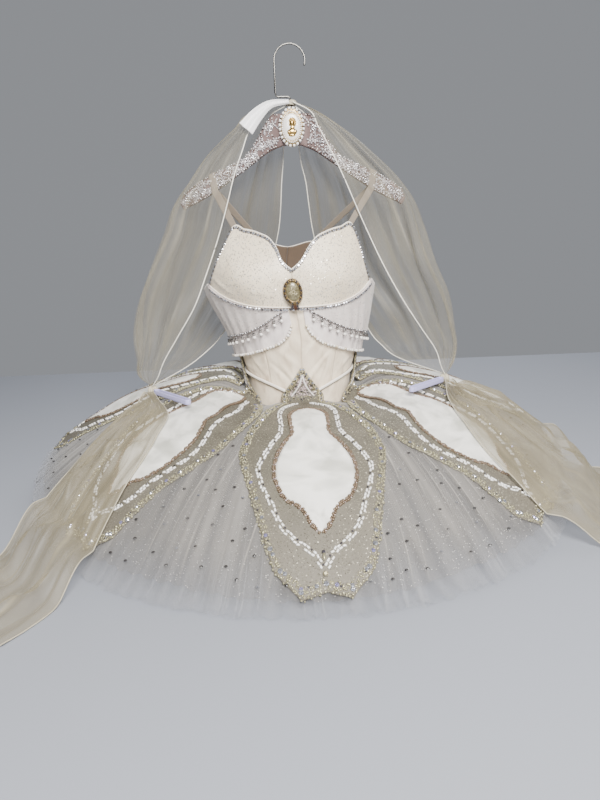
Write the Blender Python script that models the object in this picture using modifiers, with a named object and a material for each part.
"""A ballet tutu hanging on a decorated hanger, with two sheer arm veils and their tails.

Everything is worked out in the garment's own heights, where 0 is the lowest point of the hem.
Each object is then lowered so that the inner top of the hook, where the hanger hangs, is the origin.
The wearer's front faces -Y, the wearer's sides are along X, and +Z is up.
Angles round the body start at the centre front and grow towards +X.
"""

import math

import bpy
import numpy as np
from mathutils import Matrix

COLLECTION = "ballet_tutu"
HANG_HEIGHT = 0.7275  # from the lowest hem to the inner top of the hook

# Cloth walls and the gaps between pieces.
SEAM_GAP = 0.0003
WALL_BODICE = 0.0015
WALL_NET = 0.0010
WALL_THIN = 0.0010
LAYER_GAP = 0.0008  # between one layer and the next where their facets differ

# Bodice: height, half width, depth in front of the side seam, depth behind it.
BODICE_LEVELS = (
    # height, half_width, front_depth, back_depth
    (0.120, 0.0890, 0.0810, 0.0720),
    (0.165, 0.0900, 0.0820, 0.0720),
    (0.200, 0.0940, 0.0840, 0.0740),
    (0.235, 0.1040, 0.0900, 0.0780),
    (0.270, 0.1170, 0.0970, 0.0830),
    (0.306, 0.1320, 0.1040, 0.0880),
    (0.344, 0.1450, 0.1100, 0.0900),
    (0.380, 0.1480, 0.1100, 0.0880),
    (0.415, 0.1460, 0.1000, 0.0820),
    (0.450, 0.1420, 0.0870, 0.0760),
)
CUP_CENTRE_ANGLE = 28.0
CUP_CENTRE_HEIGHT = 0.362
CUP_SPREAD_ANGLE = 20.0
CUP_SPREAD_HEIGHT = 0.036
CUP_RISE = 0.014

# Seam and edge lines of the bodice: angle from the centre front, height.
# The bodice hangs a little crooked: its upper part is shifted along X, between the waist and the hanger.
BODY_LEAN = (
    # height, shift
    (0.240, 0.0000),
    (0.265, -0.0010),
    (0.290, -0.0045),
    (0.320, -0.0095),
    (0.345, -0.0125),
    (0.385, -0.0125),
    (0.415, -0.0090),
    (0.441, -0.0070),
    (0.500, 0.0000),
)
PANEL_ROWS = 8
LEANING_PIECES = ("bodice_", "back_", "cup_", "drape_", "strap_")
CUP_TOP = (
    # angle, height
    (0, 0.374),
    (6, 0.389),
    (10, 0.408),
    (14, 0.421),
    (22, 0.432),
    (32, 0.4385),
    (43, 0.441),
    (49, 0.413),
    (54, 0.387),
    (64, 0.357),
)
CUP_BOTTOM = (
    # angle, height
    (0, 0.3140),
    (14, 0.3145),
    (32, 0.3185),
    (43, 0.3255),
    (54, 0.3360),
    (64, 0.3480),
)
ARMHOLE = (
    # angle, height
    (64, 0.3560),
    (75, 0.3480),
    (90, 0.3430),
    (110, 0.3450),
    (125, 0.3520),
    (140, 0.3700),
)
BACK_TOP = (
    # angle, height
    (140, 0.3740),
    (149, 0.4000),
    (155, 0.4135),
    (180, 0.4110),
)
BACK_YOKE_SEAM = (
    # angle, height
    (140, 0.3640),
    (155, 0.3480),
    (180, 0.3400),
)
WAIST_PIPING = (
    # angle, height
    (0, 0.1600),
    (15, 0.1700),
    (35, 0.1830),
    (64, 0.1940),
    (92, 0.1980),
    (180, 0.1980),
)
UPPER_DRAPE_HEM = (
    # angle, height
    (7, 0.3100),
    (13, 0.3030),
    (23, 0.2900),
    (37, 0.2770),
    (59, 0.2660),
    (92, 0.2550),
)
LOWER_DRAPE_HEM = (
    # angle, height
    (4, 0.2900),
    (8.6, 0.2710),
    (16, 0.2570),
    (29, 0.2465),
    (44, 0.2380),
    (68, 0.2290),
    (92, 0.2230),
)
DRAPE_STANDS_OFF = 0.011  # how far the lower hem of the drapes stands out at the side seam
DRAPE_STANDS_FROM = 40.0  # the angle where it starts to
CUP_END = 64.0
ARMHOLE_START = 65.5
SIDE_FRONT_SEAM = 35.0
SIDE_SEAM = 92.0
SIDE_BACK_SEAM = 140.0
CENTRE_BACK = 180.0
CENTRE_FRONT_COLUMNS = (0.0, 14.0, 24.0, 32.0, SIDE_FRONT_SEAM)
SIDE_FRONT_COLUMNS = (SIDE_FRONT_SEAM, 43.0, 54.0, CUP_END, ARMHOLE_START, 78.0, SIDE_SEAM)
SIDE_BACK_COLUMNS = (SIDE_SEAM, 104.0, 116.0, 128.0, SIDE_BACK_SEAM)
BACK_COLUMNS = (SIDE_BACK_SEAM, 149.0, 155.0, 167.0, CENTRE_BACK)
CUP_COLUMNS = (0.0, 6.0, 10.0, 14.0, 22.0, 32.0, 43.0, 49.0, 54.0, CUP_END)
LOWER_DRAPE_COLUMNS = (5.0, 9.0, 14.0, 24.0, 32.0, 35.0, 43.0, 54.0, CUP_END, 78.0, SIDE_SEAM)
UPPER_DRAPE_COLUMNS = (9.0, 14.0, 24.0, 32.0, 35.0, 43.0, 54.0, CUP_END, 78.0, SIDE_SEAM)
BASQUE_FRONT_COLUMNS = (0.0, 15.0, 25.0, 35.0, 50.0, 64.0, 78.0)
BASQUE_BACK_COLUMNS = (SIDE_SEAM, 104.0, 116.0, 128.0, 140.0, 153.0, 167.0, CENTRE_BACK)
BASQUE_COLUMNS = BASQUE_FRONT_COLUMNS + BASQUE_BACK_COLUMNS
BASQUE_BOTTOM = 0.140
PIPING_RADIUS = 0.0015
PIPING_POINTS = 32
HOOK_TAPE_HALF_ANGLE = 4.0
HOOK_TAPE_BOTTOM = 0.226

# Skirt: four nets, the top one first. Radii are measured from the body's axis.
NET_COUNT = 4
NET_SEAM_HEIGHT = 0.170  # the level of the bodice whose girth the nets are cut to
NET_REACH_SIDE = 0.447
NET_REACH_FRONT_EXTRA = 0.025
UNDER_NET_EXTRA = 0.018  # the under nets are this much longer than the top one
NET_HEM_FRONT = 0.0135
NET_HEM_RISE = 0.060
NET_CROWN = 0.180
NET_CROWN_SIDE_RISE = 0.012  # the crown is this much higher at the sides and the back
NET_CURVE = 2.2
NET_ROOT_DIP = 0.028
NET_ROOT_DIP_SPREAD = 0.07
NET_FRONT_DIP_SPREAD = 0.18  # in front the dip at the root runs this much further out
NET_NOTCH_DIP = 0.012  # and is this much deeper where two petals part below the basque
NET_NOTCH_ANGLE = 46.0
NET_NOTCH_WIDTH = 15.0
NET_ROOT_STEP = 0.0022
NET_HEM_STEP = 0.0031
NET_PILE_STEP = 0.0022  # between the hems that lie on each other in front
NET_RIPPLE = 0.004
NET_COLUMNS = 48
UNDER_NET_COLUMNS = 48
TOP_NET_ROWS = (0.0, 0.05, 0.12, 0.24, 0.39, 0.55, 0.78, 1.0)
UNDER_NET_ROWS = (0.0, 0.05, 0.24, 0.55, 0.955, 1.0)

# Petal plates on the top net: eight, each with a point that rises on the bodice.
PETAL_COUNT = 8
PETAL_LIFT = 0.0030  # above the underside of the top net
PETAL_OUTLINE = (
    # way out to the hem, half_front, half_between_to_middle, half_between_to_side, half_side
    (0.050, 0.0360, 0.0060, 0.0480, 0.0200),
    (0.120, 0.0450, 0.0240, 0.0580, 0.0290),
    (0.240, 0.0578, 0.0700, 0.0760, 0.0500),
    (0.390, 0.0793, 0.1005, 0.0900, 0.0740),
    (0.490, 0.0944, 0.1060, 0.0960, 0.0900),
    (0.550, 0.1013, 0.1075, 0.1010, 0.1000),
    (0.660, 0.0964, 0.0960, 0.0960, 0.0960),
    (0.780, 0.0827, 0.0740, 0.0827, 0.0827),
    (0.890, 0.0693, 0.0640, 0.0693, 0.0693),
    (0.995, 0.0410, 0.0410, 0.0410, 0.0410),
)
PETAL_POINT_FRONT = (
    # height, half_width, stands_off
    (0.2110, 0.0012, 0.0032),
    (0.1850, 0.0170, 0.0062),
    (0.1640, 0.0310, 0.0062),
)
PETAL_POINT_BACK = (
    # height, half_width, stands_off
    (0.2210, 0.0012, 0.0032),
    (0.2000, 0.0170, 0.0062),
    (0.1800, 0.0310, 0.0062),
)
PETAL_POINT_SIDE = (
    # height, half_width, stands_off
    (0.2230, 0.0010, 0.0032),
    (0.2040, 0.0042, 0.0062),
    (0.1820, 0.0070, 0.0062),
)
PETAL_POINT_BETWEEN = (
    # height and angle on the side of the middle, height and angle on the side of the side seam, stands_off
    (0.2200, 81.0, 0.2200, 83.0, 0.0032),
    (0.1930, 74.5, 0.1960, 84.0, 0.0062),
    (0.1700, 61.0, 0.1800, 83.5, 0.0062),
    (0.1580, 50.5, 0.1740, 79.0, 0.0062),
)
PETAL_POINT_BACK_RISE = 0.016  # the points between the sides and the back sit this much higher
INSET_GAP = 0.0008  # between a petal and the inset that lies on it
INSET_GAP_BETWEEN = 0.0017  # and where the petal is bent more, between the middles and the sides
INSET_OUTLINE = (
    # way out to the hem, half_width
    (0.240, 0.0060),
    (0.390, 0.0250),
    (0.490, 0.0290),
    (0.550, 0.0400),
    (0.660, 0.0520),
    (0.780, 0.0260),
    (0.840, 0.0030),
)
INSET_OUTLINE_BETWEEN = (
    # way out to the hem, reach_to_middle, reach_to_side
    (0.070, -0.0260, 0.0330),
    (0.120, -0.0200, 0.0480),
    (0.240, 0.0070, 0.0550),
    (0.390, 0.0310, 0.0450),
    (0.490, 0.0430, 0.0520),
    (0.550, 0.0500, 0.0540),
    (0.660, 0.0460, 0.0530),
    (0.780, 0.0240, 0.0260),
    (0.840, 0.0030, 0.0030),
)

# Knickers: how far down towards the crotch, half width of the front, half width of the back.
KNICKER_LEVELS = (
    # way_down, front_half_width, back_half_width
    (0.00, 0.0880, 0.0880),
    (0.25, 0.0720, 0.0830),
    (0.50, 0.0530, 0.0700),
    (0.75, 0.0380, 0.0460),
    (1.00, 0.0280, 0.0280),
)
KNICKER_DEPTH = 0.124
KNICKER_NARROWING = 60.0  # degrees of the curve from the hips to the crotch

# Hanger board: distance from the middle, height of its top edge, height of its bottom edge.
BOARD_TOP = (
    # out, height
    (0.0310, 0.6240),
    (0.0430, 0.6105),
    (0.0565, 0.5885),
    (0.0770, 0.5605),
    (0.1040, 0.5455),
    (0.1310, 0.5340),
    (0.1550, 0.5225),
    (0.1790, 0.5060),
    (0.1890, 0.4960),
)
BOARD_BOTTOM = (
    # out, height
    (0.0155, 0.5745),
    (0.0385, 0.5650),
    (0.0665, 0.5465),
    (0.1050, 0.5210),
    (0.1425, 0.4975),
    (0.1800, 0.4800),
    (0.1880, 0.4770),
)
BOARD_THICKNESS = 0.012
BOARD_END_OUT = 0.1920
BOARD_END_HEIGHT = 0.4860
WIRE_RADIUS = 0.0014
HOOK_RADIUS = 0.0250
HOOK_CENTRE_HEIGHT = HANG_HEIGHT + WIRE_RADIUS - HOOK_RADIUS
HOOK_JOG_HEIGHT = 0.6500
HOOK_BEND = 0.0040  # how much a bend of the wire takes off a corner
HOOK_SWEEP = 195.0
HOOK_STEPS = 14
CAMEO_HALF_WIDTH = 0.0210
CAMEO_HALF_HEIGHT = 0.0305
CAMEO_HEIGHT = 0.6020
CAMEO_THICKNESS = 0.0050

# Straps, brooch and drop.
STRAP_WIDTH = 0.012
STRAP_OUT = 0.1365  # where the strap crosses the hanger's arm
STRAP_SLOPE = 24.0
STRAP_DROP = 0.028
STRAP_LEAN = 0.004
STRAP_FRONT_ANGLE = 39.5
STRAP_BACK_ANGLE = 160.0
BROOCH_HALF_WIDTH = 0.0150
BROOCH_HALF_HEIGHT = 0.0205
BROOCH_HEIGHT = 0.3400
BROOCH_THICKNESS = 0.0050
DROP_RADIUS = 0.0040

# Arm veils: height, then how far out and how far back (+Y) the front hem, the outer fold and
# the back hem are.
VEIL_KNOT_HEIGHT = 0.6400
KNOT_RING_RADIUS = 0.0056
KNOT_CORD_RADIUS = 0.0038
VEIL_LEFT = (
    # height, front_out, front_y, fold_out, fold_y, back_out, back_y
    (0.6400, 0.0030, -0.0100, 0.0104, 0.000, 0.0030, 0.0100),
    (0.6280, 0.0260, -0.0140, 0.0380, 0.000, 0.0220, 0.0140),
    (0.6000, 0.0420, -0.0240, 0.0840, 0.000, 0.0140, 0.0280),
    (0.5600, 0.0620, -0.0340, 0.1320, -0.002, 0.0160, 0.0420),
    (0.5200, 0.0800, -0.0420, 0.1760, -0.003, 0.0260, 0.0550),
    (0.4900, 0.0920, -0.0500, 0.1990, -0.003, 0.0300, 0.0640),
    (0.4400, 0.1130, -0.0600, 0.2170, -0.009, 0.0380, 0.0840),
    (0.3700, 0.1430, -0.0800, 0.2400, -0.016, 0.0600, 0.1080),
    (0.3200, 0.1700, -0.0900, 0.2600, -0.022, 0.0920, 0.1040),
    (0.2700, 0.2030, -0.0880, 0.2730, -0.030, 0.1300, 0.0750),
    (0.2300, 0.2310, -0.0800, 0.2760, -0.038, 0.1550, 0.0300),
    (0.2000, 0.2420, -0.0770, 0.2650, -0.050, 0.2000, -0.0050),
    (0.1878, 0.2490, -0.0722, 0.2542, -0.067, 0.2470, -0.0650),
)
VEIL_RIGHT = (
    # height, front_out, front_y, fold_out, fold_y, back_out, back_y
    (0.6400, 0.0030, -0.0100, 0.0104, 0.000, 0.0030, 0.0100),
    (0.6280, 0.0400, -0.0160, 0.0580, 0.000, 0.0300, 0.0160),
    (0.6000, 0.0660, -0.0280, 0.0960, 0.000, 0.0140, 0.0300),
    (0.5600, 0.0840, -0.0360, 0.1440, -0.002, 0.0140, 0.0420),
    (0.5200, 0.0990, -0.0450, 0.1760, -0.003, 0.0180, 0.0550),
    (0.4900, 0.1080, -0.0500, 0.1990, -0.003, 0.0200, 0.0640),
    (0.4400, 0.1240, -0.0590, 0.2180, -0.008, 0.0260, 0.0840),
    (0.3700, 0.1500, -0.0760, 0.2530, -0.016, 0.0500, 0.1080),
    (0.3200, 0.1710, -0.0900, 0.2710, -0.020, 0.0850, 0.1040),
    (0.2700, 0.2030, -0.0900, 0.2800, -0.028, 0.1270, 0.0800),
    (0.2300, 0.2290, -0.0850, 0.2790, -0.035, 0.1650, 0.0400),
    (0.2000, 0.2440, -0.0780, 0.2760, -0.044, 0.2150, -0.0100),
    (0.1878, 0.2530, -0.0712, 0.2582, -0.066, 0.2510, -0.0640),
)
VEIL_COLUMNS = 8
GATHER_HEIGHT = 0.1790
GATHER_RADIUS = 0.0075
GATHER_PLACES = {"left": (0.2500, -0.0680), "right": (-0.2540, -0.0670)}

# Tails: the two edges of each strip, from the gather outwards, on the skirt and then on the table.
TAIL_LEFT = (
    # outer_x, outer_y, inner_x, inner_y
    (0.2610, -0.0762, 0.2490, -0.0762),
    (0.3000, -0.0450, 0.2350, -0.1500),
    (0.3450, -0.0300, 0.2420, -0.2150),
    (0.3950, -0.0280, 0.2600, -0.2680),
    (0.4400, -0.0350, 0.2920, -0.3080),
    (0.4800, -0.0480, 0.3320, -0.3380),
    (0.5200, -0.0650, 0.3720, -0.3600),
    (0.5600, -0.0900, 0.4200, -0.3800),
    (0.6300, -0.1350, 0.5000, -0.4100),
)
TAIL_RIGHT = (
    # outer_x, outer_y, inner_x, inner_y
    (-0.2660, -0.0752, -0.2530, -0.0752),
    (-0.2960, -0.1000, -0.2160, -0.1600),
    (-0.3270, -0.1450, -0.2250, -0.2150),
    (-0.3600, -0.1800, -0.2400, -0.2550),
    (-0.3930, -0.2100, -0.2640, -0.3000),
    (-0.4180, -0.2500, -0.2880, -0.3500),
    (-0.4450, -0.3000, -0.3080, -0.4000),
    (-0.4750, -0.3600, -0.3280, -0.4550),
    (-0.5200, -0.4400, -0.3700, -0.5250),
)
TAIL_COLUMNS = 6
TAIL_RIDGE = 0.010
TAIL_LIFT = 0.0105
TAIL_DROP_START = 0.016  # past the top net's hem
TAIL_DROP_REACH = 0.065
TABLE_CLEARANCE = 0.0010

# Elastic loops: where the far end of each flattened ring lies. The near end is at the gather.
LOOP_WIDTH = 0.008
LOOP_GAP = 0.008
LOOP_ENDS = {"left": (0.1710, -0.1500, 0.1810), "right": (-0.1820, -0.1580, 0.1780)}

RIBBON_PATH = (
    # x, y, z, width
    (-0.0035, -0.0128, 0.6400, 0.006),
    (-0.0340, -0.0230, 0.6340, 0.012),
    (-0.0560, -0.0330, 0.6170, 0.020),
    (-0.0750, -0.0400, 0.5950, 0.026),
)

COLOURS = {
    # name: (red, green, blue, roughness, metallic)
    "cream_satin": (0.86, 0.80, 0.74, 0.45, 0.0),
    "glitter_lace": (0.88, 0.84, 0.80, 0.40, 0.0),
    "nude_mesh": (0.62, 0.46, 0.36, 0.70, 0.0),
    "grey_net": (0.62, 0.61, 0.62, 0.80, 0.0),
    "gold_beading": (0.60, 0.55, 0.43, 0.45, 0.3),
    "cream_inset": (0.93, 0.92, 0.87, 0.60, 0.0),
    "cream_organza": (0.80, 0.74, 0.62, 0.55, 0.0),
    "white_satin": (0.92, 0.91, 0.90, 0.35, 0.0),
    "lilac_elastic": (0.78, 0.77, 0.84, 0.70, 0.0),
    "mauve_velvet": (0.36, 0.28, 0.27, 0.85, 0.0),
    "silver_wire": (0.75, 0.75, 0.76, 0.20, 1.0),
    "antique_gold": (0.55, 0.42, 0.20, 0.35, 0.9),
    "pearl": (0.88, 0.86, 0.82, 0.25, 0.0),
}


# Scene helpers


def clear_scene():
    """Take away whatever the file holds before the model is made."""
    for thing in list(bpy.data.objects):
        bpy.data.objects.remove(thing, do_unlink=True)


def make_material(name):
    """A plain material in one of the named colours."""
    red, green, blue, roughness, metallic = COLOURS[name]
    made = bpy.data.materials.new(name)
    made.use_nodes = True
    shader = made.node_tree.nodes["Principled BSDF"]
    shader.inputs["Base Color"].default_value = (red, green, blue, 1.0)
    shader.inputs["Roughness"].default_value = roughness
    shader.inputs["Metallic"].default_value = metallic
    return made


def add_object(name, data, colour):
    """Put a mesh or a curve in the garment's collection, with the hook's inner top at the origin."""
    made = bpy.data.objects.new(name, data)
    made.location = (0.0, 0.0, -HANG_HEIGHT)
    data.materials.append(make_material(colour))
    bpy.data.collections[COLLECTION].objects.link(made)
    return made


def read(table, column, at):
    """A smooth curve through one column of a table, read at some value of its first column."""
    first = np.array([row[0] for row in table], float)
    wanted = np.array([row[column] for row in table], float)
    slope = np.gradient(wanted, first)
    at = np.clip(np.asarray(at, float), first[0], first[-1])
    below = np.clip(np.searchsorted(first, at, side="right") - 1, 0, len(first) - 2)
    span = first[below + 1] - first[below]
    way = (at - first[below]) / span
    rise = wanted[below + 1] - wanted[below]
    ease = way * way * (3 - 2 * way)
    leave = way * (1 - way) ** 2 * slope[below] * span
    arrive = way * way * (way - 1) * slope[below + 1] * span
    return wanted[below] + rise * ease + leave + arrive


def straight(table, column, at):
    """Straight lines through one column of a table."""
    return np.interp(at, [row[0] for row in table], [row[column] for row in table])


def sheet(name, points, thickness, colour, ring=False):
    """A cloth wall on a grid of points, thickened on the side that its faces look to."""
    if name.startswith(LEANING_PIECES):
        points = leaned(points)
    rows, columns = points.shape[:2]
    faces = []
    for row in range(rows - 1):
        for column in range(columns if ring else columns - 1):
            after = (column + 1) % columns
            near = row * columns
            far = near + columns
            faces.append((near + column, near + after, far + after, far + column))
    mesh = bpy.data.meshes.new(name)
    mesh.from_pydata(points.reshape(-1, 3).tolist(), [], faces)
    made = add_object(name, mesh, colour)
    wall = made.modifiers.new("Wall", "SOLIDIFY")
    wall.thickness = thickness
    wall.offset = 1.0
    wall.use_even_offset = True
    mesh.shade_smooth()
    return made


def leaned(points):
    """Points of the bodice, shifted sideways as the crooked bodice hangs."""
    shift = read(BODY_LEAN, 1, points[..., 2])
    return points + np.stack([shift, 0 * shift, 0 * shift], axis=-1)


def mirrored(points):
    """The same sheet on the other side of the body, with its faces still looking out."""
    return points[:, ::-1] * np.array((-1.0, 1.0, 1.0))


# Body surface


def cup_rise(angle, height):
    """How far the bust cups stand out from the plain body."""
    across = (np.abs(angle) - CUP_CENTRE_ANGLE) / CUP_SPREAD_ANGLE
    up = (height - CUP_CENTRE_HEIGHT) / CUP_SPREAD_HEIGHT
    return CUP_RISE * np.exp(-across * across - up * up)


def body_points(angle, height, off):
    """Points on the bodice, off metres outside it, at angles in degrees from the centre front."""
    angle, height, off = np.broadcast_arrays(angle, height, off)
    turn = np.radians(angle)
    width = read(BODICE_LEVELS, 1, height)
    front = read(BODICE_LEVELS, 2, height)
    back = read(BODICE_LEVELS, 3, height)
    depth = np.where(np.cos(turn) > 0, front, back)
    out_x = np.sin(turn) / width
    out_y = -np.cos(turn) / depth
    length = np.hypot(out_x, out_y)
    move = off + cup_rise(angle, height)
    x = width * np.sin(turn) + move * out_x / length
    y = -depth * np.cos(turn) + move * out_y / length
    return np.stack([x, y, height], axis=-1)


def panel_grid(columns, low, high, rows, off=0.0):
    """A grid on the bodice between two seams, from a low line to a high line."""
    angles = seam_inset(columns)
    ways = np.linspace(0, 1, rows + 1)[:, None]
    bottom = low(angles)[None, :]
    heights = bottom + ways * (high(angles)[None, :] - bottom)
    return body_points(angles[None, :], heights, off)


def seam_inset(columns):
    """The angles of a panel's columns, its two outer ones drawn in by half a seam gap."""
    middling_radius = 0.11
    gap = math.degrees(SEAM_GAP / 2 / middling_radius)
    return np.array([columns[0] + gap, *columns[1:-1], columns[-1] - gap])


def line(table, shift=0.0):
    """A seam line as a function of the angle, moved up or down by shift."""
    return lambda angle: read(table, 1, np.abs(angle)) + shift


def body_top(angle):
    """The upper edge of the front panels: under the cups, then along the armhole."""
    under_cup = straight(CUP_BOTTOM, 1, angle) - SEAM_GAP
    armhole = read(ARMHOLE, 1, angle)
    return np.where(angle < (CUP_END + ARMHOLE_START) / 2, under_cup, armhole)


def add_pair(stem, points, thickness, colour):
    """A piece on the wearer's side towards +X, and its mirror image."""
    sheet(stem + "_left", points, thickness, colour)
    sheet(stem + "_right", mirrored(points), thickness, colour)


def make_bodice():
    """Eight panels round the body, two cups, two nude back pieces and the hook tape."""
    piping = line(WAIST_PIPING, SEAM_GAP)
    panels = (
        # stem, columns, high line
        ("bodice_centre_front", CENTRE_FRONT_COLUMNS, body_top),
        ("bodice_side_front", SIDE_FRONT_COLUMNS, body_top),
        ("bodice_side_back", SIDE_BACK_COLUMNS, body_top),
        ("bodice_back", BACK_COLUMNS, line(BACK_YOKE_SEAM, -SEAM_GAP)),
    )
    for stem, columns, high in panels:
        add_pair(stem, panel_grid(columns, piping, high, PANEL_ROWS), WALL_BODICE, "cream_satin")
    grid = panel_grid(BACK_COLUMNS, line(BACK_YOKE_SEAM), line(BACK_TOP), 3)
    add_pair("back_yoke", grid, WALL_THIN, "nude_mesh")
    cup_low = lambda angle: straight(CUP_BOTTOM, 1, angle)
    cup_high = lambda angle: straight(CUP_TOP, 1, angle)
    add_pair("cup", panel_grid(CUP_COLUMNS, cup_low, cup_high, 5), WALL_BODICE, "glitter_lace")
    tape_columns = (CENTRE_BACK - HOOK_TAPE_HALF_ANGLE, CENTRE_BACK, CENTRE_BACK + HOOK_TAPE_HALF_ANGLE)
    tape_low = lambda angle: np.full(np.shape(angle), HOOK_TAPE_BOTTOM)
    tape_high = lambda angle: np.full(np.shape(angle), BACK_YOKE_SEAM[-1][1] - LAYER_GAP)
    grid = panel_grid(tape_columns, tape_low, tape_high, 4, WALL_BODICE + LAYER_GAP)
    sheet("back_hook_tape", grid, WALL_THIN, "cream_satin")


def drape_grid(hem, columns, off, rows):
    """A drape from the cup seam down to its own hem, standing off more towards the side seam."""
    angles = seam_inset(columns)
    ways = np.linspace(0, 1, rows + 1)[:, None]
    bottom = straight(hem, 1, angles)[None, :]
    top = (body_top(angles) - LAYER_GAP)[None, :]
    heights = bottom + ways * (top - bottom)
    sideways = np.clip((angles - DRAPE_STANDS_FROM) / (SIDE_SEAM - DRAPE_STANDS_FROM), 0, 1) ** 2
    lowest = straight(LOWER_DRAPE_HEM, 1, angles)
    depth = np.clip((top - heights) / (top - lowest), 0, 1) ** 2
    stand = off + DRAPE_STANDS_OFF * sideways[None, :] * depth
    return body_points(angles[None, :], heights, stand)


def make_drapes():
    """Two crossed layers on each side, from the cup seam to the pearl-edged hems."""
    first = WALL_BODICE + LAYER_GAP
    second = first + WALL_THIN + 1.5 * LAYER_GAP
    grid = drape_grid(LOWER_DRAPE_HEM, LOWER_DRAPE_COLUMNS, first, PANEL_ROWS)
    add_pair("drape_lower", grid, WALL_THIN, "cream_satin")
    grid = drape_grid(UPPER_DRAPE_HEM, UPPER_DRAPE_COLUMNS, second, PANEL_ROWS)
    add_pair("drape_upper", grid, WALL_THIN, "glitter_lace")


def make_basque():
    """The hip band under the waist seam, in two halves, and the piping that covers the seam."""
    bottom = lambda angle: np.full(np.shape(angle), BASQUE_BOTTOM)
    grid = panel_grid(BASQUE_COLUMNS, bottom, line(WAIST_PIPING, -SEAM_GAP), 1)
    add_pair("basque", grid, WALL_BODICE, "cream_satin")
    angles = np.arange(PIPING_POINTS) * 360.0 / PIPING_POINTS
    angles = np.where(angles > 180, angles - 360, angles)
    heights = read(WAIST_PIPING, 1, np.abs(angles))
    points = body_points(angles, heights, WALL_BODICE + LAYER_GAP + PIPING_RADIUS)
    add_wire("waist_piping", points, PIPING_RADIUS, "cream_satin", ring=True, bevel_resolution=0)


def add_wire(name, points, radius, colour, ring=False, bevel_resolution=2):
    """A round wire or cord along points, as a curve with filled ends."""
    curve = bpy.data.curves.new(name, "CURVE")
    curve.dimensions = "3D"
    curve.bevel_depth = radius
    curve.bevel_resolution = bevel_resolution
    curve.use_fill_caps = not ring
    spline = curve.splines.new("POLY")
    spline.points.add(len(points) - 1)
    spline.use_cyclic_u = ring
    for place, point in zip(spline.points, points):
        place.co = (*point, 1.0)
    return add_object(name, curve, colour)


# Hanger


def make_hanger():
    """The shaped board, its bent wire hook and the oval plate in the middle."""
    half = list(BOARD_TOP) + [(BOARD_END_OUT, BOARD_END_HEIGHT)] + list(reversed(BOARD_BOTTOM))
    outline = half + [(-out, height) for out, height in reversed(half)]
    curve = bpy.data.curves.new("hanger_board", "CURVE")
    curve.dimensions = "2D"
    curve.fill_mode = "BOTH"
    curve.extrude = BOARD_THICKNESS / 2
    spline = curve.splines.new("POLY")
    spline.points.add(len(outline) - 1)
    spline.use_cyclic_u = True
    for place, (out, height) in zip(spline.points, outline):
        place.co = (out, height, 0.0, 1.0)
    board = add_object("hanger_board", curve, "mauve_velvet")
    board.rotation_euler = (math.pi / 2, 0.0, 0.0)
    add_wire("hanger_hook", hook_points(), WIRE_RADIUS, "silver_wire", bevel_resolution=1)
    plate_y = -BOARD_THICKNESS / 2 - SEAM_GAP - CAMEO_THICKNESS / 2
    add_oval("hanger_cameo", (0, plate_y, CAMEO_HEIGHT), CAMEO_HALF_WIDTH, CAMEO_HALF_HEIGHT, CAMEO_THICKNESS)


def hook_points():
    """The hook's middle line: up from the board, a jog to the wearer's right, then over the top."""
    foot = BOARD_TOP[0][1] + SEAM_GAP
    points = [(0, 0, foot), (0, 0, HOOK_JOG_HEIGHT - HOOK_BEND), (-HOOK_BEND, 0, HOOK_JOG_HEIGHT)]
    points += [(HOOK_BEND - HOOK_RADIUS, 0, HOOK_JOG_HEIGHT), (-HOOK_RADIUS, 0, HOOK_JOG_HEIGHT + HOOK_BEND)]
    for step in range(HOOK_STEPS + 1):
        turn = math.radians(180 - HOOK_SWEEP * step / HOOK_STEPS)
        points.append((HOOK_RADIUS * math.cos(turn), 0, HOOK_CENTRE_HEIGHT + HOOK_RADIUS * math.sin(turn)))
    return points


def add_oval(name, centre, half_width, half_height, thickness):
    """A flat oval plate that faces forward."""
    bpy.ops.mesh.primitive_cylinder_add(vertices=24, radius=1.0, depth=thickness)
    made = bpy.context.active_object
    for vertex in made.data.vertices:
        x, y, z = vertex.co
        vertex.co = (x * half_width + centre[0], z + centre[1], -y * half_height + centre[2])
    adopt(made, name, "antique_gold")


def adopt(made, name, colour):
    """Name a primitive, finish it and move it to the garment's collection."""
    made.name = name
    made.data.name = name
    made.data.materials.append(make_material(colour))
    made.location = (0.0, 0.0, -HANG_HEIGHT)
    for collection in list(made.users_collection):
        collection.objects.unlink(made)
    bpy.data.collections[COLLECTION].objects.link(made)
    made.data.shade_smooth()
    made.data.set_sharp_from_angle(angle=math.radians(40))


def strap_grid():
    """The elastic from the cup's corner, over the hanger's arm, to the back yoke's corner."""
    front = body_points(STRAP_FRONT_ANGLE, CUP_TOP[6][1] + 2 * SEAM_GAP, 0.0)
    back = body_points(STRAP_BACK_ANGLE, read(BACK_TOP, 1, STRAP_BACK_ANGLE) + 2 * SEAM_GAP, 0.0)
    arm_y = BOARD_THICKNESS / 2 + 2 * SEAM_GAP
    arm_top = straight(BOARD_TOP, 1, STRAP_OUT) + 2 * SEAM_GAP
    arm_low = arm_top - STRAP_DROP
    slope = math.radians(STRAP_SLOPE)
    arm_across = np.array((math.cos(slope), 0.0, -math.sin(slope)))
    rows = [(front, body_across(STRAP_FRONT_ANGLE))]
    rows.append(((STRAP_OUT - STRAP_LEAN, -arm_y - STRAP_LEAN / 4, arm_low), arm_across))
    rows.append(((STRAP_OUT, -arm_y, arm_top), arm_across))
    rows.append(((STRAP_OUT, arm_y, arm_top), arm_across))
    rows.append(((STRAP_OUT - STRAP_LEAN, arm_y + STRAP_LEAN / 4, arm_low), arm_across))
    rows.append((back, -body_across(STRAP_BACK_ANGLE)))
    half = STRAP_WIDTH / 2
    return np.array([[middle - across * half, middle + across * half] for middle, across in rows])


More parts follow.
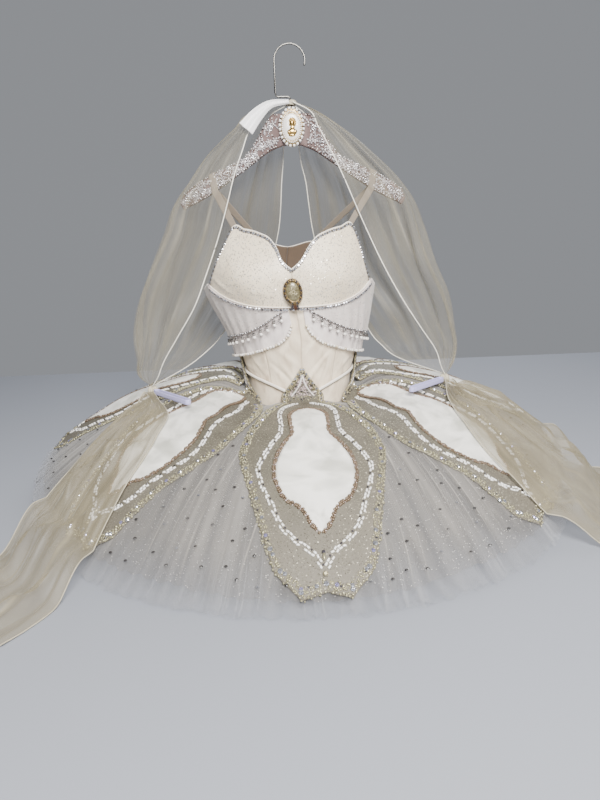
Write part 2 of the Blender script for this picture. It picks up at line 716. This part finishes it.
def body_across(angle):
    """The level direction along the bodice at an angle, growing with the angle."""
    step = 0.5
    height = CUP_TOP[6][1]
    run = body_points(angle + step, height, 0.0) - body_points(angle - step, height, 0.0)
    return run / np.linalg.norm(run)


def make_trim():
    """Straps, the bust brooch and the drop under it."""
    add_pair("strap", strap_grid(), WALL_THIN, "nude_mesh")
    turn, share = np.meshgrid(np.linspace(0, math.tau, 24), np.linspace(0, 1, 5))
    heights = BROOCH_HEIGHT + BROOCH_HALF_HEIGHT * share * np.sin(turn)
    angles = np.degrees(np.arcsin(BROOCH_HALF_WIDTH * share * np.cos(turn) / BODICE_LEVELS[6][1]))
    back_y = body_points(angles, heights, WALL_BODICE + SEAM_GAP)[..., 1].min()
    middle = back_y - BROOCH_THICKNESS / 2
    lean = float(read(BODY_LEAN, 1, BROOCH_HEIGHT))
    centre = (lean, middle, BROOCH_HEIGHT)
    add_oval("bust_brooch", centre, BROOCH_HALF_WIDTH, BROOCH_HALF_HEIGHT, BROOCH_THICKNESS)
    drop_height = BROOCH_HEIGHT - BROOCH_HALF_HEIGHT - SEAM_GAP - DROP_RADIUS
    add_ball("brooch_drop", (lean, middle, drop_height), DROP_RADIUS, "pearl")


def add_ball(name, centre, radius, colour):
    """A small ball at a point of the garment."""
    bpy.ops.mesh.primitive_uv_sphere_add(segments=12, ring_count=8, radius=radius)
    made = bpy.context.active_object
    made.data.transform(Matrix.Translation(centre))
    adopt(made, name, colour)


# Skirt


def net_reach(azimuth):
    """Radius of the top net's hem, a little longer in front."""
    facing = np.clip(np.cos(azimuth), 0, 1)
    return NET_REACH_SIDE + NET_REACH_FRONT_EXTRA * facing * facing


def net_root(azimuth):
    """Radius where the nets are sewn to the basque."""
    off = WALL_BODICE + 2 * LAYER_GAP
    width = straight(BODICE_LEVELS, 1, NET_SEAM_HEIGHT) + off
    front = straight(BODICE_LEVELS, 2, NET_SEAM_HEIGHT) + off
    back = straight(BODICE_LEVELS, 3, NET_SEAM_HEIGHT) + off
    depth = np.where(np.cos(azimuth) > 0, front, back)
    return 1 / np.hypot(np.sin(azimuth) / width, np.cos(azimuth) / depth)


def net_height(azimuth, radius, layer):
    """Height of a net's underside at a radius: a crown near the root, then a fall to the hem."""
    facing = np.clip(np.cos(azimuth), 0, 1)
    hem = NET_HEM_FRONT + NET_HEM_RISE * (1 - facing)
    crown = NET_CROWN + NET_CROWN_SIDE_RISE * (1 - facing)
    root = net_root(azimuth)
    way = (radius - root) / (net_reach(azimuth) - root)
    in_front = np.clip((np.cos(azimuth) - 0.1) / 0.5, 0, 1)
    in_front = in_front * in_front * (3 - 2 * in_front)
    from_front = np.degrees(np.arccos(np.cos(azimuth)))
    notch = np.exp(-(((from_front - NET_NOTCH_ANGLE) / NET_NOTCH_WIDTH) ** 2))
    spread = NET_ROOT_DIP_SPREAD + NET_FRONT_DIP_SPREAD * in_front
    dip = (NET_ROOT_DIP + NET_NOTCH_DIP * notch) * np.exp(-((way / spread) ** 2))
    drop = layer * (NET_ROOT_STEP + (NET_HEM_STEP - NET_ROOT_STEP) * way)
    fall = hem + (crown - hem) * (1 - way**NET_CURVE) - dip - drop
    return np.maximum(fall, NET_PILE_STEP * (NET_COUNT - 1 - layer))


def net_ripple(azimuth, way):
    """A soft ridge of the top net in each gap between two petals."""
    between = 0.5 - 0.5 * np.cos(PETAL_COUNT * azimuth)
    return NET_RIPPLE * between**3 * np.clip((way - 0.3) / 0.7, 0, 1)


def net_radius(azimuth, way, layer=0):
    """Radius at some way from a net's root to its hem."""
    root = net_root(azimuth)
    reach = net_reach(azimuth) + (UNDER_NET_EXTRA if layer else 0.0)
    return root + (reach - root) * way


def make_nets():
    """The top net and three longer under nets."""
    for layer in range(NET_COUNT):
        columns = UNDER_NET_COLUMNS if layer else NET_COLUMNS
        azimuth = np.arange(columns)[None, :] * math.tau / columns
        way = np.array(UNDER_NET_ROWS if layer else TOP_NET_ROWS)[::-1, None]
        radius = net_radius(azimuth, way, layer)
        height = net_height(azimuth, radius, layer)
        if layer == 0:
            height = height + net_ripple(azimuth, way)
        points = np.stack([radius * np.sin(azimuth), -radius * np.cos(azimuth), height], axis=-1)
        name = f"skirt_under_net_{layer}" if layer else "skirt_top_net"
        sheet(name, points, WALL_NET, "grey_net", ring=True)


def top_net_height(azimuth, way):
    """Height of the faceted top net's underside at some way from its root to its hem."""
    way = np.clip(way, 0, 1)
    rows = np.array(TOP_NET_ROWS)
    below = np.clip(np.searchsorted(rows, way, side="right") - 1, 0, len(rows) - 2)
    share = (way - rows[below]) / (rows[below + 1] - rows[below])
    low = net_height(azimuth, net_radius(azimuth, rows[below]), 0)
    high = net_height(azimuth, net_radius(azimuth, rows[below + 1]), 0)
    return low + share * (high - low)


def on_top_net(azimuth, way, across, lift):
    """Points on the top net, at some way to the hem and spread sideways along its rings."""
    radius = net_radius(azimuth, way)
    turned = azimuth + across / radius
    radius = net_radius(turned, way)
    height = top_net_height(turned, way) + lift
    return np.stack([radius * np.sin(turned), -radius * np.cos(turned), height], axis=-1)


def turned_to_side(number):
    """The direction round the rings in which a petal between two others faces the side seam."""
    return {1: 1.0, 3: -1.0, 5: 1.0, 7: -1.0}.get(number, 0.0)


def sideways(number, way, spread, row):
    """Sideways places across a petal from a row of the outline table, less where the net is shorter."""
    front, to_middle, to_side, side = row
    turned = turned_to_side(number)
    scale = net_radius(number * math.tau / PETAL_COUNT, way) / net_radius(0.0, way)
    if turned == 0:
        return scale * spread * (side if number in (2, 6) else front)
    return scale * np.where(spread * turned > 0, spread * to_side, spread * to_middle)


def point_rows(number, spread):
    """Rows of the point of a petal on the bodice, from its base up to its tip."""
    turned = turned_to_side(number)
    rows = []
    if turned == 0:
        table = {0: PETAL_POINT_FRONT, 4: PETAL_POINT_BACK}.get(number, PETAL_POINT_SIDE)
        for height, half, off in reversed(table):
            girth = read(BODICE_LEVELS, 1 if number in (2, 6) else 2, height)
            angles = number * 360.0 / PETAL_COUNT + spread * math.degrees(half / girth)
            rows.append(body_points(angles, height, off))
        return rows
    behind = number in (3, 5)
    start = 180.0 if behind else 0.0
    rise = PETAL_POINT_BACK_RISE if behind else 0.0
    share = (spread * turned + 1) / 2
    for low, from_angle, high, to_angle, off in reversed(PETAL_POINT_BETWEEN):
        angles = start + turned * (from_angle + (to_angle - from_angle) * share)
        rows.append(body_points(angles, low + (high - low) * share + rise, off))
    return rows


def make_petals():
    """Eight beaded plates with their points on the bodice, and the cream inset on each."""
    spread = np.linspace(-1, 1, 5)
    inset_spread = np.linspace(-1, 1, 3)
    for number in range(PETAL_COUNT):
        azimuth = number * math.tau / PETAL_COUNT
        turned = turned_to_side(number)
        rows = []
        for way, *halves in reversed(PETAL_OUTLINE):
            rows.append(on_top_net(azimuth, way, sideways(number, way, spread, halves), PETAL_LIFT))
        rows += point_rows(number, spread)
        sheet(f"petal_{number}", np.array(rows), WALL_THIN, "gold_beading")
        rows = []
        inset_lift = PETAL_LIFT + WALL_THIN + (INSET_GAP_BETWEEN if turned else INSET_GAP)
        if turned == 0:
            for way, half in reversed(INSET_OUTLINE):
                rows.append(on_top_net(azimuth, way, inset_spread * half, inset_lift))
        else:
            for way, to_middle, to_side in reversed(INSET_OUTLINE_BETWEEN):
                share = (inset_spread * turned + 1) / 2
                across = turned * (-to_middle + (to_middle + to_side) * share)
                rows.append(on_top_net(azimuth, way, across, inset_lift))
        sheet(f"petal_inset_{number}", np.array(rows), WALL_THIN, "cream_inset")


# Knickers


def knicker_points(side, way, across, half_width):
    """Points on the front (side -1) or the back (side 1) of the knickers."""
    shrink = math.cos(math.radians(KNICKER_NARROWING * way))
    width = float(straight(BODICE_LEVELS, 1, BASQUE_BOTTOM)) * shrink
    depth = float(straight(BODICE_LEVELS, 2 if side < 0 else 3, BASQUE_BOTTOM)) * shrink
    x = across * half_width
    y = side * depth * np.sqrt(1 - (x / width) ** 2)
    z = np.full(x.shape, BASQUE_BOTTOM - SEAM_GAP - KNICKER_DEPTH * math.sin(math.pi / 2 * way))
    return np.stack([x, y, z], axis=-1)


def make_knickers():
    """A front, a back and the gusset between them, with the leg openings left open."""
    across = np.linspace(-1, 1, 6)
    ways = np.linspace(0, 1, 5)
    front, back = [], []
    for way in ways[::-1]:
        front.append(knicker_points(-1, way, across, float(read(KNICKER_LEVELS, 1, way))))
        back.append(knicker_points(1, way, across[::-1], float(read(KNICKER_LEVELS, 2, way))))
    sheet("knickers_front", np.array(front), WALL_THIN, "cream_satin")
    sheet("knickers_back", np.array(back), WALL_THIN, "cream_satin")
    edge_gap = np.array((0.0, 2 * SEAM_GAP, 0.0))
    gusset = np.array([back[0][::-1] - edge_gap, front[0] + edge_gap])
    sheet("knickers_gusset", gusset, WALL_THIN, "cream_satin")


# Veils


def veil_grid(table, sign):
    """One arm veil: a trough of cloth that hangs round the hanger's arm, from the knot to the gather."""
    rows = []
    for height, front_out, front_y, fold_out, fold_y, back_out, back_y in table:
        section = []
        for step in range(VEIL_COLUMNS + 1):
            place = 2 * step / VEIL_COLUMNS - 1
            end_out, end_y = (front_out, front_y) if place < 0 else (back_out, back_y)
            away = abs(place)
            out = fold_out + (end_out - fold_out) * away * away
            y = fold_y + (end_y - fold_y) * (1 - (1 - away) ** 2)
            section.append((sign * out, y, height))
        rows.append(section)
    points = np.array(rows)[::-1]
    return points if sign > 0 else points[:, ::-1]


def ground_height(x, y):
    """What the tails lie on: the skirt, then a fall past its hem, then the table."""
    azimuth = np.arctan2(x, -y)
    radius = np.hypot(x, y)
    root = net_root(azimuth)
    skirt = top_net_height(azimuth, (radius - root) / (net_reach(azimuth) - root)) + TAIL_LIFT
    past = radius - net_reach(azimuth) - TAIL_DROP_START
    fall = np.clip(past / TAIL_DROP_REACH, 0, 1)
    fall = fall * fall * (3 - 2 * fall)
    return skirt + (TABLE_CLEARANCE - skirt) * fall


def tail_grid(table, sign):
    """One veil tail, with ridges along it."""
    rows = []
    for number, (outer_x, outer_y, inner_x, inner_y) in enumerate(table):
        share = np.linspace(0, 1, TAIL_COLUMNS + 1)
        x = outer_x + (inner_x - outer_x) * share
        y = outer_y + (inner_y - outer_y) * share
        ridge = TAIL_RIDGE * (np.arange(TAIL_COLUMNS + 1) % 2) * min(1.0, number / 2)
        rows.append(np.stack([x, y, ground_height(x, y) + ridge], axis=-1))
    points = np.array(rows)
    points[0, :, 2] = GATHER_HEIGHT - WALL_THIN / 2
    return points if sign > 0 else points[:, ::-1]


def loop_grid(gather, end):
    """A flattened elastic ring that stands on its edge, from beside the gather to its far end."""
    along = np.array(end) - np.array(gather)
    along = along / np.linalg.norm(along)
    start = np.array(gather) + along * (GATHER_RADIUS + WALL_THIN + LAYER_GAP)
    length = np.linalg.norm(np.array(end) - start)
    side = np.array((along[1], -along[0], 0.0))
    radius = LOOP_GAP / 2
    middle = []
    for turn in np.linspace(-90, 90, 5):
        reach = length - radius + radius * math.cos(math.radians(turn))
        middle.append(start + along * reach + side * radius * math.sin(math.radians(turn)))
    for turn in np.linspace(90, 270, 5):
        reach = radius + radius * math.cos(math.radians(turn))
        middle.append(start + along * reach + side * radius * math.sin(math.radians(turn)))
    middle = np.array(middle)
    low = middle - np.array((0.0, 0.0, LOOP_WIDTH / 2))
    high = middle + np.array((0.0, 0.0, LOOP_WIDTH / 2))
    return np.array([high, low])


def make_veils():
    """Two veils, the gathers that bind them, their tails, the finger loops and the satin ribbon."""
    for side, sign, veil, tail in (("left", 1, VEIL_LEFT, TAIL_LEFT), ("right", -1, VEIL_RIGHT, TAIL_RIGHT)):
        sheet(f"veil_{side}", veil_grid(veil, sign), WALL_THIN, "cream_organza")
        sheet(f"veil_tail_{side}", tail_grid(tail, sign), WALL_THIN, "cream_organza")
        centre = (*GATHER_PLACES[side], GATHER_HEIGHT)
        add_ball(f"veil_gather_{side}", centre, GATHER_RADIUS, "cream_organza")
        loop = loop_grid(centre, LOOP_ENDS[side])
        sheet(f"elastic_loop_{side}", loop, WALL_THIN, "lilac_elastic", ring=True)
    bpy.ops.mesh.primitive_torus_add(
        major_segments=16, minor_segments=8, major_radius=KNOT_RING_RADIUS, minor_radius=KNOT_CORD_RADIUS
    )
    knot = bpy.context.active_object
    knot.data.transform(Matrix.Translation((0, 0, VEIL_KNOT_HEIGHT)))
    adopt(knot, "veil_knot", "cream_organza")
    rows = []
    for number, (x, y, z, width) in enumerate(RIBBON_PATH):
        before = np.array(RIBBON_PATH[max(number - 1, 0)][:3])
        after = np.array(RIBBON_PATH[min(number + 1, len(RIBBON_PATH) - 1)][:3])
        run = after - before
        across = np.array((-run[2], 0.0, run[0]))
        across = across / np.linalg.norm(across) * width / 2
        middle = np.array((x, y, z))
        rows.append([middle - across, middle, middle + across])
    sheet("neck_ribbon", np.array(rows), WALL_THIN, "white_satin")


def build():
    """Make the whole garment."""
    clear_scene()
    collection = bpy.data.collections.new(COLLECTION)
    bpy.context.scene.collection.children.link(collection)
    make_hanger()
    make_bodice()
    make_drapes()
    make_basque()
    make_trim()
    make_nets()
    make_petals()
    make_knickers()
    make_veils()


build()
